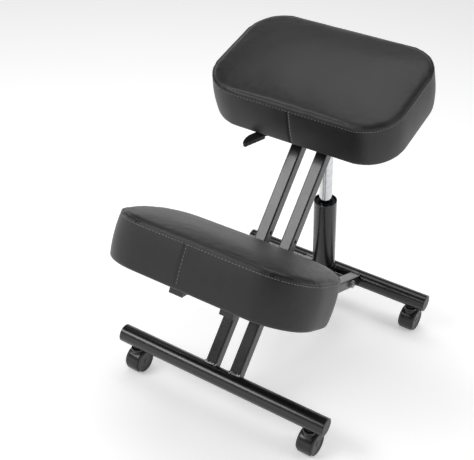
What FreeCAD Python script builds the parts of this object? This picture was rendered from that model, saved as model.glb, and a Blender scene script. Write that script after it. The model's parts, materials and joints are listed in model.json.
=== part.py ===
import FreeCAD
import Part
import math
import os

from FreeCAD import Placement, Rotation, Vector

# Kneeling chair, millimetres. The sitter faces -Y, so the sitter's left is +X.
# While it is built, X = 0 is the mirror plane, Y = 0 the front crossbar's axis and Z = 0
# the floor. Before export everything moves along Y, so that the origin lies under the
# middle of the whole chair.

# Crossbars: round tubes across the chair, each on two casters
crossbar_diameter = 38.0
crossbar_wall = 2.0
front_crossbar_length = 483.0
rear_crossbar_length = 464.0
crossbar_spacing = 482.0
stem_inset = 33.0
end_cap_depth = 14.0
end_cap_proud = 0.8
end_cap_wall = 2.0

# Square tube of the arms and the side bars
square_size = 25.0
square_wall = 1.5
square_corner = 3.0
plug_depth = 7.5
plug_head = 2.0

# Arms: a pair from the front crossbar up to the seat
arm_incline = 52.6
arm_setback = 6.6
arm_gap = 32.0
arm_pivot_distance = 354.0
arm_overhang = 14.0
stop_hole_distance = 141.0
stop_hole_diameter = 8.0

# Side bars: a pair from the rear crossbar forward to the arms
bar_incline = 18.6
bar_gap = 94.0
bar_overhang = 18.0

# Pivots
pivot_bolt_diameter = 10.0
sleeve_diameter = 16.0
running_clearance = 0.05
side_clearance = 0.5
open_pivot_clearance = 2.4
hex_across_corners = 18.5
hex_height = 6.4
bolt_tip_proud = 2.0
washer_thickness = 1.6
washer_diameter = 26.0

# Gas cylinder, from its pivot between the side bars up to its hub under the seat
cylinder_pivot_distance = 62.7
outer_tube_diameter = 50.0
outer_tube_wall = 2.0
outer_tube_top = 211.0
outer_tube_bottom = -30.0
pressure_tube_diameter = 28.0
pressure_tube_wall = 2.0
lift_stroke = 120.0
buffer_gap = 3.0
bush_length = 60.0
bush_recess = 5.0
bush_countersink = 3.0
piston_rod_diameter = 10.0
piston_rod_tail = 2.0
piston_height = 10.0
piston_clearance = 0.08
piston_end_gap = 2.0
seal_length = 12.0
socket_wall = 2.0
socket_top = 30.0
socket_floor = 4.0
trunnion_diameter = 24.0
trunnion_bore_depth = 17.0
trunnion_bolt_gap = 1.0
clip_diameter = 20.0
clip_thickness = 2.0
clip_clearance = 1.0
buffer_diameter = 26.0
buffer_height = 9.0

# Taper hub and valve at the top of the gas cylinder
hub_diameter = 36.0
hub_below_bridge = 22.0
hub_above_bridge = 14.0
hub_behind_centre = 10.46
hub_drop = 128.29
taper_top_diameter = 26.4
taper_proud = 2.0
bridge_thickness = 3.0
bridge_half_depth = 26.0
hub_flange_diameter = 44.0
hub_flange_thickness = 3.0
valve_diameter = 8.0
valve_depth = 12.0
valve_travel = 2.5
valve_gap = 0.3
valve_end_gap = 1.0

# Seat cushion: outline at the top seam, size, place from the seat pivot, and tilt
seat_width = 407.0
seat_depth = 259.0
seat_corner = 76.0
seat_thickness = 90.0
seat_before_pivot = 10.46
seat_over_pivot = 149.69
seat_tilt = 18.6

# Knee cushion, with its place from the frame pivot
knee_width = 433.0
knee_depth = 233.0
knee_corner = 100.0
knee_thickness = 90.0
knee_before_pivot = 94.05
knee_over_pivot = 185.91
knee_tilt = -25.1

# Form shared by both cushions
crown_height = 13.0
crown_share = 0.42
crown_least_corner = 8.0
crown_rings = 7
side_bulge = 5.5
seam_draw = 2.5
wall_rings = 8
base_inset = 2.0
foot_radius = 4.0
corner_follow = 0.8
board_thickness = 12.0
board_margin = 22.0

# Seat bracket: plate and two ears of folded sheet
plate_thickness = 3.0
plate_width = 190.0
plate_front = -72.0
plate_back = 88.0
plate_corner = 12.0
ear_thickness = 4.0
ear_clearance = 1.0
ear_front = -58.0
ear_back = 62.0
ear_radius = 15.0
ear_behind_bridge = 5.0
ear_below_bridge = 4.0
screw_diameter = 6.0
screw_head_diameter = 12.0
screw_head_height = 3.6
screw_reach = 9.0
seat_screw_inset = 16.0

# Knee brackets: a flange along the board's underside, with its front end folded down, and
# a gusset down to the arm
bracket_thickness = 4.0
bracket_flange = 30.0
bracket_front = -43.0
bracket_back = 104.0
bracket_lip = 25.0
bracket_lip_rise = 4.0
bracket_lip_return = 15.0
gusset_back = 150.0
gusset_above_pivot = 38.0
gusset_front_above_pivot = 31.0
gusset_below_pivot = 16.0
bracket_bolt_diameter = 8.0
bracket_bolt_distance = 28.0
bracket_hex_across_corners = 15.0
bracket_head_height = 5.3
bracket_nut_height = 6.5
knee_screw_front = -20.0
knee_screw_back = 84.0

# Release lever under the seat, on the sitter's right
lever_thickness = 3.0
lever_width = 14.0
lever_drop = 13.0
lever_tail = 27.0
lever_bend_y = -45.0
lever_pin_diameter = 6.0
lever_pin_y = -22.0
lever_hub_diameter = 13.0
lever_hub_width = 28.0
lever_pin_drop = 3.5
lever_pin_proud = 2.0
lever_neck_width = 8.0

# Grip of the lever: straight on its inner side, and curved in to a narrow tip on the outer
grip_tip_x = -91.5
grip_tip_y = -155.5
grip_turn = 31.8
grip_length = 45.0
grip_width = 19.0
grip_thickness = 10.0
grip_nose = 4.5
grip_nose_lead = 2.0
grip_shoulder = 24.0
grip_corner = 2.0
grip_edge = 1.5
tongue_end = 25.0
elbow_behind_tip = 62.0
notch_diameter = 3.0
notch_count = 4
notch_pitch = 9.0
first_notch = 8.0

# Casters: twin wheels under a hood
caster_height = 63.0
wheel_diameter = 50.0
caster_width = 37.0
wheel_width = 11.7
wheel_wall = 3.0
wheel_edge = 1.2
wheel_inner_edge = 0.8
wheel_dish = 1.6
wheel_disc_thickness = 2.4
wheel_hub_wall = 3.0
hub_dish = 0.8
axle_recess = 2.3
caster_trail = 6.0
hood_gap = 0.7
hood_wall = 1.8
hood_width = 29.0
hood_back_angle = 50.0
hood_front_angle = 225.0
web_gap = 0.6
axle_diameter = 6.0
axle_boss_diameter = 15.0
axle_end_gap = 0.3
stem_diameter = 11.0
stem_lower_diameter = 8.0
stem_lower_bottom = 32.5
stem_flange_diameter = 16.0
stem_flange_height = 2.0
stem_top = 93.0
hood_boss_diameter = 26.0
hood_boss_bottom = 40.0
hood_boss_top = 59.0
hood_recess = 2.0
hood_recess_clearance = 1.0
hood_running_gap = 0.3
sleeve_wall = 2.0
sleeve_flange = 1.5

# Weld beads
bead_diameter = 5.0
bead_proud = 0.5
bead_end_inset = 1.0

X_AXIS = Vector(1, 0, 0)
Z_AXIS = Vector(0, 0, 1)


def tilted(y, z, angle):
    """Frame in the mirror plane at (y, z), turned about X by an angle in degrees."""
    return Placement(Vector(0, y, z), Rotation(X_AXIS, angle))


def put(shape, frame):
    """Copy of a shape drawn in a local frame, placed in the chair."""
    placed = shape.copy()
    placed.Placement = frame.multiply(placed.Placement)
    return placed


def mirrored(shape):
    """The same piece on the chair's other side."""
    return shape.mirror(Vector(0, 0, 0), X_AXIS)


def both_sides(shape):
    """A pair of separate solids in one node."""
    return Part.makeCompound([shape, mirrored(shape)])


def rod_z(diameter, z_low, z_high, x=0.0, y=0.0):
    return Part.makeCylinder(diameter / 2, z_high - z_low, Vector(x, y, z_low), Z_AXIS)


def rod_x(diameter, x_low, x_high, y=0.0, z=0.0):
    return Part.makeCylinder(diameter / 2, x_high - x_low, Vector(x_low, y, z), X_AXIS)


def block(x_low, x_high, y_low, y_high, z_low, z_high):
    size = (x_high - x_low, y_high - y_low, z_high - z_low)
    return Part.makeBox(*size, Vector(x_low, y_low, z_low))


def hexagon_x(across_corners, x_low, x_high, y=0.0, z=0.0):
    """Hexagonal prism along X, as on a bolt head or nut."""
    corners = []
    for k in range(7):
        angle = math.radians(60 * k)
        corners.append(Vector(x_low, y + across_corners / 2 * math.cos(angle),
                              z + across_corners / 2 * math.sin(angle)))
    return Part.Face(Part.makePolygon(corners)).extrude(Vector(x_high - x_low, 0, 0))


def plate_x(points, x_low, x_high):
    """Flat plate with a (y, z) outline, between two X planes."""
    corners = [Vector(x_low, y, z) for y, z in points]
    return Part.Face(Part.makePolygon(corners + corners[:1])).extrude(Vector(x_high - x_low, 0, 0))


def rounded_wire(width, depth, radius, z, x=0.0, y=0.0):
    """Rounded rectangle of four lines and four quarter arcs."""
    edges = []
    half_w = width / 2 - radius
    half_d = depth / 2 - radius
    centres = ((half_w, half_d), (-half_w, half_d), (-half_w, -half_d), (half_w, -half_d))

    def on_arc(corner, degrees):
        angle = math.radians(degrees)
        cx, cy = centres[corner]
        return Vector(x + cx + radius * math.cos(angle), y + cy + radius * math.sin(angle), z)

    for corner in range(4):
        start = 90 * corner
        first = on_arc(corner, start)
        last = on_arc(corner, start + 90)
        edges.append(Part.Arc(first, on_arc(corner, start + 45), last).toShape())
        edges.append(Part.LineSegment(last, on_arc((corner + 1) % 4, start + 90)).toShape())
    return Part.Wire(edges)


def rounded_prism(width, depth, radius, z_low, z_high, x=0.0, y=0.0):
    face = Part.Face(rounded_wire(width, depth, radius, z_low, x, y))
    return face.extrude(Vector(0, 0, z_high - z_low))


def sector(inner_radius, outer_radius, start, end, x_low, x_high, y, z):
    """Part of a ring about an axis along X, between two angles of under a half circle."""
    def at(radius, degrees):
        angle = math.radians(degrees)
        return Vector(x_low, y + radius * math.cos(angle), z + radius * math.sin(angle))

    middle = (start + end) / 2
    edges = [Part.Arc(at(outer_radius, start), at(outer_radius, middle),
                      at(outer_radius, end)).toShape()]
    if inner_radius > 0:
        edges.append(Part.LineSegment(at(outer_radius, end), at(inner_radius, end)).toShape())
        edges.append(Part.Arc(at(inner_radius, end), at(inner_radius, middle),
                              at(inner_radius, start)).toShape())
        edges.append(Part.LineSegment(at(inner_radius, start), at(outer_radius, start)).toShape())
    else:
        edges.append(Part.LineSegment(at(outer_radius, end), at(0, 0)).toShape())
        edges.append(Part.LineSegment(at(0, 0), at(outer_radius, start)).toShape())
    return Part.Face(Part.Wire(edges)).extrude(Vector(x_high - x_low, 0, 0))


# Frames of the sub-assemblies
crossbar_radius = crossbar_diameter / 2
crossbar_axis_z = caster_height + crossbar_radius
arm_frame = tilted(0, crossbar_axis_z, arm_incline - 90)
bar_frame = tilted(crossbar_spacing, crossbar_axis_z, 90 - bar_incline)


def frame_pivot_distances():
    """Where the arms' and the side bars' centre lines cross, measured along each of them."""
    foot = arm_frame.multVec(Vector(0, arm_setback, 0))
    along_arm = arm_frame.Rotation.multVec(Z_AXIS)
    along_bar = bar_frame.Rotation.multVec(Z_AXIS)
    gap = bar_frame.Base - foot
    turn = along_arm.y * along_bar.z - along_arm.z * along_bar.y
    on_arm = (gap.y * along_bar.z - gap.z * along_bar.y) / turn
    on_bar = (gap.y * along_arm.z - gap.z * along_arm.y) / turn
    return on_arm, on_bar


arm_to_frame_pivot, bar_to_frame_pivot = frame_pivot_distances()
arm_to_seat_pivot = arm_to_frame_pivot + arm_pivot_distance
frame_pivot = bar_frame.multVec(Vector(0, 0, bar_to_frame_pivot))
seat_pivot = arm_frame.multVec(Vector(0, arm_setback, arm_to_seat_pivot))
cylinder_pivot = bar_frame.multVec(Vector(0, 0, cylinder_pivot_distance))
seat_frame = tilted(seat_pivot.y - seat_before_pivot, seat_pivot.z + seat_over_pivot, seat_tilt)
knee_frame = tilted(frame_pivot.y - knee_before_pivot, frame_pivot.z + knee_over_pivot, knee_tilt)

# The gas cylinder points from its pivot to the middle of its hub under the seat
to_hub = seat_frame.multVec(Vector(0, hub_behind_centre, -hub_drop)) - cylinder_pivot
cylinder_lean = math.degrees(math.atan2(-to_hub.y, to_hub.z))
cylinder_frame = tilted(cylinder_pivot.y, cylinder_pivot.z, cylinder_lean)

# Heights along the gas cylinder, above its pivot
outer_tube_floor = outer_tube_bottom + 2 * outer_tube_wall
buffer_top = outer_tube_floor + buffer_height
pressure_tube_bottom = buffer_top + buffer_gap + lift_stroke
bridge_height = to_hub.Length
hub_bottom = bridge_height - hub_below_bridge
hub_top = bridge_height + hub_above_bridge

# Distances from the mirror plane
arm_inner = arm_gap / 2
arm_outer = arm_inner + square_size
arm_middle = (arm_inner + arm_outer) / 2
bracket_outer = arm_outer + bracket_thickness
bar_inner = bar_gap / 2
bar_outer = bar_inner + square_size
bar_middle = (bar_inner + bar_outer) / 2
ear_inner = arm_outer + ear_clearance
ear_outer = ear_inner + ear_thickness

nodes = {}


def square_tube(x, y, z_low, z_high):
    """Hollow square tube along a local Z axis."""
    inner = square_size - 2 * square_wall
    outside = rounded_prism(square_size, square_size, square_corner, z_low, z_high, x, y)
    inside = rounded_prism(inner, inner, square_corner - square_wall, z_low, z_high, x, y)
    return outside.cut(inside)


def square_plug(x, y, z_end):
    """Plastic plug that closes a square tube at its upper end."""
    inner = square_size - 2 * square_wall
    body = rounded_prism(inner, inner, square_corner - square_wall, z_end - plug_depth, z_end, x, y)
    head = rounded_prism(square_size, square_size, square_corner, z_end, z_end + plug_head, x, y)
    return body.fuse(head.makeFillet(plug_head / 2, head.Faces[-1].Edges)).removeSplitter()


def bead(x, y, z):
    """A short weld along X, still to be cut to the two pieces that it joins."""
    reach = square_size / 2 - bead_end_inset
    return rod_x(bead_diameter, x - reach, x + reach, y, z)


def crossbar(length, y):
    """Round tube with a hole at each end's underside for a caster sleeve."""
    tube = rod_x(crossbar_diameter, -length / 2, length / 2, y, crossbar_axis_z)
    bore = rod_x(crossbar_diameter - 2 * crossbar_wall, -length / 2, length / 2, y, crossbar_axis_z)
    tube = tube.cut(bore)
    stem_x = length / 2 - stem_inset
    for x in (-stem_x, stem_x):
        tube = tube.cut(rod_z(stem_diameter + 2 * sleeve_wall, 0, crossbar_axis_z, x, y))
    return tube


def end_caps(length, y):
    """Round plugs in both ends of a crossbar."""
    inside = crossbar_diameter - 2 * crossbar_wall
    cap = rod_x(inside, length / 2 - end_cap_depth, length / 2 + end_cap_proud, y, crossbar_axis_z)
    hollow = rod_x(inside - 2 * end_cap_wall, length / 2 - end_cap_depth,
                   length / 2 - end_cap_wall, y, crossbar_axis_z)
    cap = cap.cut(hollow)
    rim = [e for e in cap.Edges if e.BoundBox.XMin > length / 2 and e.BoundBox.XLength < 0.01]
    return both_sides(cap.makeChamfer(end_cap_proud / 2, rim))


def stem_sleeves(length, y):
    """Sleeves in a crossbar's underside that hold the caster stems."""
    x = length / 2 - stem_inset
    sleeve = rod_z(stem_diameter + 2 * sleeve_wall, caster_height - sleeve_flange, stem_top, x, y)
    flange = rod_z(stem_diameter + 4 * sleeve_wall, caster_height - sleeve_flange,
                   caster_height, x, y)
    bore = rod_z(stem_diameter, 0, stem_top, x, y)
    return both_sides(sleeve.fuse(flange).cut(bore).removeSplitter())


def caster_stems(length, y):
    """Steel stems, fixed in the sleeves: the hoods turn on their lower ends."""
    x = length / 2 - stem_inset
    flange_bottom = hood_boss_top - hood_recess + hood_running_gap
    flange_top = flange_bottom + stem_flange_height
    stem = rod_z(stem_diameter, flange_top, stem_top, x, y)
    stem = stem.fuse(rod_z(stem_flange_diameter, flange_bottom, flange_top, x, y))
    stem = stem.fuse(rod_z(stem_lower_diameter, stem_lower_bottom, flange_bottom, x, y))
    return both_sides(stem.removeSplitter())


def make_front_frame():
    nodes["front_crossbar"] = crossbar(front_crossbar_length, 0)
    nodes["front_stem_sleeves"] = stem_sleeves(front_crossbar_length, 0)
    nodes["front_caster_stems"] = caster_stems(front_crossbar_length, 0)

    top = arm_to_seat_pivot + arm_overhang
    crossbar_core = rod_x(crossbar_diameter, -bar_outer, bar_outer)
    arm = square_tube(arm_middle, arm_setback, 0, top).cut(crossbar_core)
    for distance, diameter in ((arm_to_frame_pivot, sleeve_diameter),
                               (arm_to_seat_pivot, pivot_bolt_diameter),
                               (arm_to_frame_pivot + stop_hole_distance, stop_hole_diameter),
                               (arm_to_frame_pivot + bracket_bolt_distance, bracket_bolt_diameter)):
        arm = arm.cut(rod_x(diameter, 0, bar_outer, arm_setback, distance))
    nodes["arm_left"] = put(arm, arm_frame)
    nodes["arm_right"] = mirrored(nodes["arm_left"])
    plugs = both_sides(put(square_plug(arm_middle, arm_setback, top), arm_frame))
    caps = end_caps(front_crossbar_length, 0)
    nodes["front_frame_plugs"] = Part.makeCompound(plugs.Solids + caps.Solids)

    outside = rounded_prism(square_size, square_size, square_corner, 0, top,
                            arm_middle, arm_setback)
    front_face = arm_setback - square_size / 2
    on_crossbar = math.sqrt(crossbar_radius ** 2 - front_face ** 2)
    welds = [bead(arm_middle, front_face - bead_proud, on_crossbar + bead_proud),
             bead(arm_middle, crossbar_radius + bead_proud, 0)]
    welds = [put(w.cut(outside).cut(crossbar_core), arm_frame) for w in welds]
    nodes["arm_welds"] = Part.makeCompound(welds + [mirrored(w) for w in welds])

    sleeve_end = bar_inner - side_clearance
    sleeve = rod_x(sleeve_diameter, -sleeve_end, sleeve_end, frame_pivot.y, frame_pivot.z)
    bore = rod_x(pivot_bolt_diameter + 2 * running_clearance, -sleeve_end, sleeve_end,
                 frame_pivot.y, frame_pivot.z)
    nodes["frame_pivot_sleeve"] = sleeve.cut(bore)

    spacer = rod_x(sleeve_diameter, -arm_inner, arm_inner, seat_pivot.y, seat_pivot.z)
    bolt_hole = rod_x(pivot_bolt_diameter, -bar_outer, bar_outer, seat_pivot.y, seat_pivot.z)
    nodes["seat_pivot_spacer"] = spacer.cut(bolt_hole)
    make_bolt("seat_pivot", seat_pivot, ear_outer + side_clearance)


def make_bolt(name, pivot, half_grip):
    """Bolt along X in one node, its nut and a washer at each side in another."""
    outside = half_grip + washer_thickness
    end = outside + hex_height + bolt_tip_proud
    shank = rod_x(pivot_bolt_diameter, -end, outside, pivot.y, pivot.z)
    head = hexagon_x(hex_across_corners, outside, outside + hex_height, pivot.y, pivot.z)
    nodes[name + "_bolt"] = shank.fuse(head).removeSplitter()
    hole = rod_x(pivot_bolt_diameter, -end, end, pivot.y, pivot.z)
    nut = hexagon_x(hex_across_corners, -outside - hex_height, -outside, pivot.y, pivot.z)
    washer = rod_x(washer_diameter, half_grip, outside, pivot.y, pivot.z).cut(hole)
    nodes[name + "_nut_and_washers"] = Part.makeCompound([nut.cut(hole), washer,
                                                          mirrored(washer)])


def make_rear_frame():
    nodes["rear_crossbar"] = crossbar(rear_crossbar_length, crossbar_spacing)
    nodes["rear_stem_sleeves"] = stem_sleeves(rear_crossbar_length, crossbar_spacing)
    nodes["rear_caster_stems"] = caster_stems(rear_crossbar_length, crossbar_spacing)

    end = bar_to_frame_pivot + bar_overhang
    half_length = rear_crossbar_length / 2
    crossbar_core = rod_x(crossbar_diameter, -half_length, half_length)
    bar = square_tube(bar_middle, 0, 0, end).cut(crossbar_core)
    for distance in (bar_to_frame_pivot, cylinder_pivot_distance):
        bar = bar.cut(rod_x(pivot_bolt_diameter, 0, bar_outer, 0, distance))
    nodes["side_bar_left"] = put(bar, bar_frame)
    nodes["side_bar_right"] = mirrored(nodes["side_bar_left"])
    plugs = both_sides(put(square_plug(bar_middle, 0, end), bar_frame))
    caps = end_caps(rear_crossbar_length, crossbar_spacing)
    nodes["rear_frame_plugs"] = Part.makeCompound(plugs.Solids + caps.Solids)

    outside = rounded_prism(square_size, square_size, square_corner, 0, end, bar_middle, 0)
    on_crossbar = math.sqrt(crossbar_radius ** 2 - square_size ** 2 / 4)
    welds = []
    for side in (-1, 1):
        weld = bead(bar_middle, side * (square_size / 2 + bead_proud), on_crossbar + bead_proud)
        welds.append(put(weld.cut(outside).cut(crossbar_core), bar_frame))
    nodes["side_bar_welds"] = Part.makeCompound(welds + [mirrored(w) for w in welds])
    make_bolt("frame_pivot", frame_pivot, bar_outer)

    bolt_tip = bar_inner - side_clearance - trunnion_bore_depth + trunnion_bolt_gap
    shank = rod_x(pivot_bolt_diameter, bolt_tip, bar_outer, 0, 0)
    head = hexagon_x(hex_across_corners, bar_outer, bar_outer + hex_height)
    bolt = shank.fuse(head).removeSplitter()
    nodes["cylinder_pivot_bolts"] = both_sides(put(bolt, cylinder_frame))


def make_gas_cylinder():
    """Pieces that tilt together on the lower pivot, drawn about the cylinder's axis."""
    inside = outer_tube_diameter - 2 * outer_tube_wall
    tube = rod_z(outer_tube_diameter, outer_tube_bottom, outer_tube_top)
    tube = tube.cut(rod_z(inside, outer_tube_floor, outer_tube_top))
    tube = tube.cut(rod_z(piston_rod_diameter, outer_tube_bottom, 0))
    nodes["gas_outer_tube"] = put(tube, cylinder_frame)

    bush_top = outer_tube_top - bush_recess
    bush = rod_z(inside, bush_top - bush_length, bush_top)
    bush_bore = pressure_tube_diameter + 2 * running_clearance
    bush = bush.cut(rod_z(bush_bore, bush_top - bush_length, bush_top))
    countersink = Part.makeCone(bush_bore / 2, bush_bore / 2 + bush_countersink, bush_countersink,
                                Vector(0, 0, bush_top - bush_countersink), Z_AXIS)
    nodes["guide_bush"] = put(bush.cut(countersink), cylinder_frame)

    clip_low = outer_tube_bottom - clip_thickness
    piston_top = pressure_tube_bottom + seal_length + piston_end_gap + piston_height
    piston_bore = pressure_tube_diameter - 2 * pressure_tube_wall
    piston_rod = rod_z(piston_rod_diameter, clip_low - piston_rod_tail, piston_top)
    piston = rod_z(piston_bore - 2 * piston_clearance, piston_top - piston_height, piston_top)
    nodes["piston_rod"] = put(piston_rod.fuse(piston).removeSplitter(), cylinder_frame)

    rod_hole = rod_z(piston_rod_diameter, clip_low, 0)
    clip = rod_z(clip_diameter, clip_low, outer_tube_bottom).cut(rod_hole)
    nodes["piston_rod_clip"] = put(clip, cylinder_frame)
    stop = rod_z(buffer_diameter, outer_tube_floor, buffer_top).cut(rod_hole)
    nodes["end_buffer"] = put(stop, cylinder_frame)

    socket_outer = outer_tube_diameter + 2 * socket_wall
    socket = rod_z(socket_outer, outer_tube_bottom - socket_floor, socket_top)
    trunnion_end = bar_inner - side_clearance
    socket = socket.fuse(rod_x(trunnion_diameter, -trunnion_end, trunnion_end))
    socket = socket.cut(rod_z(outer_tube_diameter, outer_tube_bottom, socket_top))
    clip_room = clip_diameter + 2 * clip_clearance
    socket = socket.cut(rod_z(clip_room, outer_tube_bottom - socket_floor, 0))
    bore = pivot_bolt_diameter + 2 * running_clearance
    for low, high in ((trunnion_end - trunnion_bore_depth, trunnion_end),
                      (-trunnion_end, trunnion_bore_depth - trunnion_end)):
        socket = socket.cut(rod_x(bore, low, high))
    nodes["cylinder_socket"] = put(socket, cylinder_frame)


def make_pressure_tube():
    """Chrome tube that carries the seat, with the taper at its top and the valve pin."""
    tube = rod_z(pressure_tube_diameter, pressure_tube_bottom, hub_bottom)
    taper = Part.makeCone(pressure_tube_diameter / 2, taper_top_diameter / 2,
                          hub_top - hub_bottom, Vector(0, 0, hub_bottom), Z_AXIS)
    tube = tube.fuse(taper).fuse(rod_z(taper_top_diameter, hub_top, hub_top + taper_proud))
    cavity_low = pressure_tube_bottom + seal_length
    cavity = rod_z(pressure_tube_diameter - 2 * pressure_tube_wall, cavity_low, hub_bottom)
    rod_bore = rod_z(piston_rod_diameter + 2 * running_clearance, pressure_tube_bottom, cavity_low)
    valve_low = hub_top + taper_proud - valve_depth - valve_travel - valve_end_gap
    valve_bore = rod_z(valve_diameter + 2 * running_clearance, valve_low, hub_top + taper_proud)
    nodes["pressure_tube"] = put(tube.cut(cavity).cut(rod_bore).cut(valve_bore), cylinder_frame)

    hub = rod_z(hub_diameter, hub_bottom, hub_top)
    seat_on_bridge = bridge_height + bridge_thickness
    hub = hub.fuse(rod_z(hub_flange_diameter, seat_on_bridge,
                         seat_on_bridge + hub_flange_thickness))
    nodes["taper_hub"] = put(hub.cut(taper).removeSplitter(), cylinder_frame)

    under_lever = seat_frame.multVec(Vector(0, 0, lever_underside))
    lever_normal = seat_frame.Rotation.multVec(Z_AXIS)
    axis = cylinder_frame.Rotation.multVec(Z_AXIS)
    along_axis = (under_lever - cylinder_frame.Base).dot(lever_normal) / axis.dot(lever_normal)
    valve_top = along_axis - valve_gap - valve_diameter / 2 * math.tan(
        math.radians(seat_tilt - cylinder_lean))
    pin = rod_z(valve_diameter, hub_top + taper_proud - valve_depth, valve_top)
    nodes["valve_pin"] = put(pin, cylinder_frame)


def cushion(width, depth, corner, thickness):
    """Closed cushion: rounded foot, bulging wall, drawn-in seam and a crowned top."""
    levels = [(-thickness, base_inset + foot_radius)]
    for k in range(wall_rings + 1):
        up = k / wall_rings
        inset = base_inset * (1 - up) + seam_draw * up - side_bulge * math.sin(math.pi * up)
        levels.append((-(thickness - foot_radius) * (1 - up), inset))
    crown_reach = depth * crown_share
    for k in range(1, crown_rings + 1):
        angle = math.pi / 2 * k / crown_rings
        levels.append((crown_height * math.sin(angle),
                       seam_draw + crown_reach * (1 - math.cos(angle))))
    sections = []
    for z, inset in levels:
        radius = max(corner - inset * corner_follow, crown_least_corner)
        sections.append(rounded_wire(width - 2 * inset, depth - 2 * inset, radius, z))
    return Part.makeLoft(sections, True, True)


def board(width, depth, corner, thickness):
    """Plywood base let into the cushion's underside."""
    return rounded_prism(width - 2 * board_margin, depth - 2 * board_margin,
                         corner - board_margin * corner_follow, -thickness,
                         board_thickness - thickness)


def screw(x, y, under_plate, reach):
    """Pan-head screw pointing up along local Z."""
    shank = rod_z(screw_diameter, under_plate, reach, x, y)
    head = rod_z(screw_head_diameter, under_plate - screw_head_height, under_plate, x, y)
    low = [e for e in head.Edges if e.BoundBox.ZMax < under_plate - screw_head_height + 0.01]
    return shank.fuse(head.makeFillet(screw_head_height * 0.5, low)).removeSplitter()


def screw_holes(places, z_low, z_high):
    return Part.makeCompound([rod_z(screw_diameter, z_low, z_high, x, y) for x, y in places])


def make_seat():
    underside = -seat_thickness
    plate_low = underside - plate_thickness
    places = []
    for x in (-plate_width / 2 + seat_screw_inset, plate_width / 2 - seat_screw_inset):
        for y in (plate_front + seat_screw_inset, plate_back - seat_screw_inset):
            places.append((x, y))
    holes = screw_holes(places, plate_low, underside + screw_reach)

    base = board(seat_width, seat_depth, seat_corner, seat_thickness)
    nodes["seat_board"] = put(base.cut(holes), seat_frame)
    pad = cushion(seat_width, seat_depth, seat_corner, seat_thickness).cut(base)
    nodes["seat_cushion"] = put(pad, seat_frame)
    screws = [screw(x, y, plate_low, underside + screw_reach) for x, y in places]
    nodes["seat_screws"] = put(Part.makeCompound(screws), seat_frame)

    plate = rounded_prism(plate_width, plate_back - plate_front, plate_corner, plate_low,
                          underside, 0, (plate_back + plate_front) / 2).cut(holes)
    pivot = seat_frame.inverse().multVec(seat_pivot)
    bridge = put(block(-ear_inner, ear_inner, -bridge_half_depth, bridge_half_depth,
                       bridge_height, bridge_height + bridge_thickness), cylinder_frame)
    bridge = bridge.cut(put(rod_z(hub_diameter, hub_bottom, hub_top), cylinder_frame))
    bridge_back = seat_frame.inverse().multVec(
        cylinder_frame.multVec(Vector(0, bridge_half_depth, bridge_height)))
    ear_round = ear_radius * math.sqrt(0.5)
    outline = ((ear_front, plate_low), (ear_back, plate_low),
               (bridge_back.y + ear_behind_bridge, bridge_back.z - ear_below_bridge),
               (pivot.y + ear_round, pivot.z - ear_round),
               (pivot.y - ear_radius, pivot.z))
    ear = plate_x(outline, ear_inner, ear_outer)
    ear = ear.fuse(rod_x(2 * ear_radius, ear_inner, ear_outer, pivot.y, pivot.z))
    open_hole = rod_x(pivot_bolt_diameter + 2 * open_pivot_clearance, 0, bar_outer,
                      pivot.y, pivot.z)
    lever_hole = rod_x(lever_pin_diameter, 0, bar_outer, lever_pin_y, lever_pin_z)
    ear = ear.cut(open_hole).cut(lever_hole)
    bracket = put(plate.fuse(ear).fuse(mirrored(ear)), seat_frame)
    nodes["seat_bracket"] = bracket.fuse(bridge).removeSplitter()


# Heights of the release lever below the seat's seam plane
lever_top = -seat_thickness - lever_drop
lever_underside = lever_top - lever_thickness
lever_pin_z = lever_underside - lever_pin_drop


def lever_strip(start, end):
    """Flat bar of the lever between two points of its middle line, with round ends."""
    run = end - start
    turn = math.degrees(math.atan2(-run.x, run.y))
    strip = block(-lever_width / 2, lever_width / 2, 0, run.Length, lever_underside, lever_top)
    strip = put(strip, Placement(start, Rotation(Z_AXIS, turn)))
    ends = [rod_z(lever_width, lever_underside, lever_top, p.x, p.y) for p in (start, end)]
    return strip.fuse(ends)


def make_grip(low):
    """Moulded grip, with its inner side along local Y and its tip at the origin."""
    reach = grip_width - grip_nose
    lead = grip_shoulder + grip_nose_lead
    radius = (reach ** 2 + lead ** 2) / (2 * reach)
    centre = Vector(radius - grip_width, grip_shoulder, low)
    half_turn = math.atan2(lead, radius - reach) / 2
    middle = centre - Vector(math.cos(half_turn), math.sin(half_turn), 0) * radius
    tip = Vector(0, 0, low)
    nose = Vector(-grip_nose, -grip_nose_lead, low)
    shoulder = Vector(-grip_width, grip_shoulder, low)
    outer_end = Vector(-grip_width, grip_length, low)
    inner_end = Vector(0, grip_length, low)
    curve = Part.Arc(nose, middle, shoulder).toShape()
    lines = [Part.makeLine(a, b) for a, b in ((shoulder, outer_end), (outer_end, inner_end),
                                              (inner_end, tip), (tip, nose))]
    outline = Part.Wire([curve] + lines)
    grip = Part.Face(outline).extrude(Z_AXIS * grip_thickness)
    corners = [e for e in grip.Edges if e.BoundBox.ZLength > grip_thickness / 2
               and not (abs(e.BoundBox.XMin - shoulder.x) < 0.01
                        and abs(e.BoundBox.YMin - shoulder.y) < 0.01)]
    grip = grip.makeFillet(grip_corner, corners)
    rims = [e for e in grip.Edges if e.BoundBox.ZLength < 0.01]
    grip = grip.makeFillet(grip_edge, rims)
    for k in range(notch_count):
        grip = grip.cut(rod_x(notch_diameter, -2 * grip_width, grip_width,
                              first_notch + notch_pitch * k, low))
    return grip


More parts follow.
